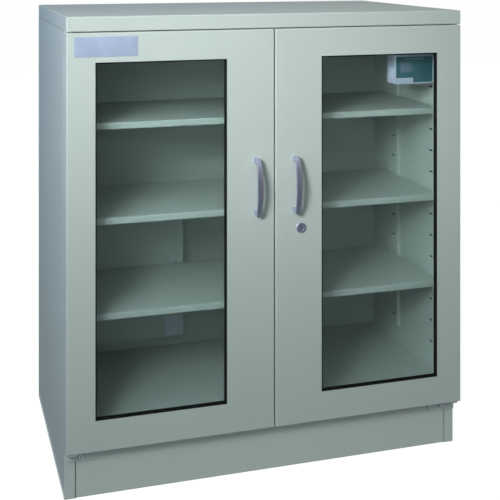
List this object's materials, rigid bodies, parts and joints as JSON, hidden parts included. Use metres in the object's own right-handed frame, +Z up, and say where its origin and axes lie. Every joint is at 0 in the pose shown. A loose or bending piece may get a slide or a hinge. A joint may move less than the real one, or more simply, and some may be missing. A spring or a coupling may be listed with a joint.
{
  "type": "desiccator storage cabinet",
  "caption": "Floor-standing dry storage cabinet with glazed swing doors, adjustable shelves, a lock, a regenerating dry unit on the inner back wall and a hygrometer.",
  "frame": {"origin": "on the floor under the middle of the closed cabinet's bounding box, handles included", "axes": "+Z up, doors and handles face -Y, +X to the right of someone who faces the doors"},
  "size_m": [0.9, 0.48, 0.99],
  "materials": {
    "body_paint": "semi-gloss powder coat",
    "inner_paint": "white powder coat",
    "bare_sheet": "zinc plated",
    "bright_metal": "polished plating",
    "screw_steel": "zinc plated",
    "black_rubber": "matte",
    "white_rubber": "matte",
    "clear_glass": "clear float glass",
    "nylon": "natural nylon",
    "case_plastic": "fine texture",
    "face_plastic": "gloss",
    "black_plastic": "matte",
    "desiccant": "bead filled cassette",
    "coil": "varnished winding"
  },
  "bodies": {
    "cabinet": {"top_cap": "body_paint", "side_panel_left": "body_paint", "side_panel_right": "body_paint", "side_liner_left": "inner_paint", "side_liner_right": "inner_paint", "back_liner": "inner_paint", "back_panel": "body_paint", "ceiling_pan": "inner_paint", "floor_pan": "inner_paint", "kick_plate": "body_paint", "base_rails": "bare_sheet", "rear_uprights": "inner_paint", "shelf_clips": "bare_sheet", "shelf_lower": "inner_paint", "shelf_middle": "inner_paint", "shelf_upper": "inner_paint", "hinge_bracket_bottom_left": "body_paint", "hinge_bracket_bottom_right": "body_paint", "hinge_bracket_top_left": "body_paint", "hinge_bracket_top_right": "body_paint", "hinge_pins": "screw_steel", "bracket_screws": "screw_steel", "dry_cover": "inner_paint", "dry_chamber": "bare_sheet", "desiccant_cassette": "desiccant", "heater": "screw_steel", "solenoid": "coil", "dry_screws": "screw_steel", "hygrometer_case": "case_plastic", "hygrometer_face": "face_plastic", "hygrometer_bracket": "bare_sheet", "mains_inlet": "black_plastic"},
    "door_left": {"door_skin_left": "body_paint", "door_pan_left": "body_paint", "glass_left": "clear_glass", "glazing_left": "black_rubber", "door_seal_left": "white_rubber", "hinge_bushes_left": "nylon", "handle_left": "bright_metal", "handle_screws_left": "screw_steel", "lock_keeper": "bare_sheet", "bolt_guide": "bare_sheet"},
    "door_right": {"door_skin_right": "body_paint", "door_pan_right": "body_paint", "glass_right": "clear_glass", "glazing_right": "black_rubber", "door_seal_right": "white_rubber", "hinge_bushes_right": "nylon", "handle_right": "bright_metal", "handle_screws_right": "screw_steel", "lock_barrel": "bright_metal", "lock_nut": "screw_steel"},
    "lock": {"lock_plug": "bright_metal", "lock_cam": "bare_sheet", "cam_screw": "screw_steel"},
    "bolt": {"door_bolt": "bright_metal"},
    "shutter": {"shutter": "bare_sheet"}
  },
  "joints": [
    {"name": "left_door_hinge", "type": "hinge", "parent": "cabinet", "child": "door_left", "pos_m": [-0.441, -0.197, 0.5], "axis": [0, 0, -1], "range_deg": [0, 110]},
    {"name": "right_door_hinge", "type": "hinge", "parent": "cabinet", "child": "door_right", "pos_m": [0.441, -0.197, 0.5], "axis": [0, 0, 1], "range_deg": [0, 110]},
    {"name": "lock_turn", "type": "hinge", "parent": "door_right", "child": "lock", "pos_m": [0.0595, -0.2, 0.5286], "axis": [0, 1, 0], "range_deg": [0, 90]},
    {"name": "bolt_slide", "type": "slide", "parent": "door_left", "child": "bolt", "axis": [0, 0, 1], "range_m": [0, 0.012]},
    {"name": "shutter_slide", "type": "slide", "parent": "cabinet", "child": "shutter", "axis": [1, 0, 0], "range_m": [0, 0.01]}
  ]
}
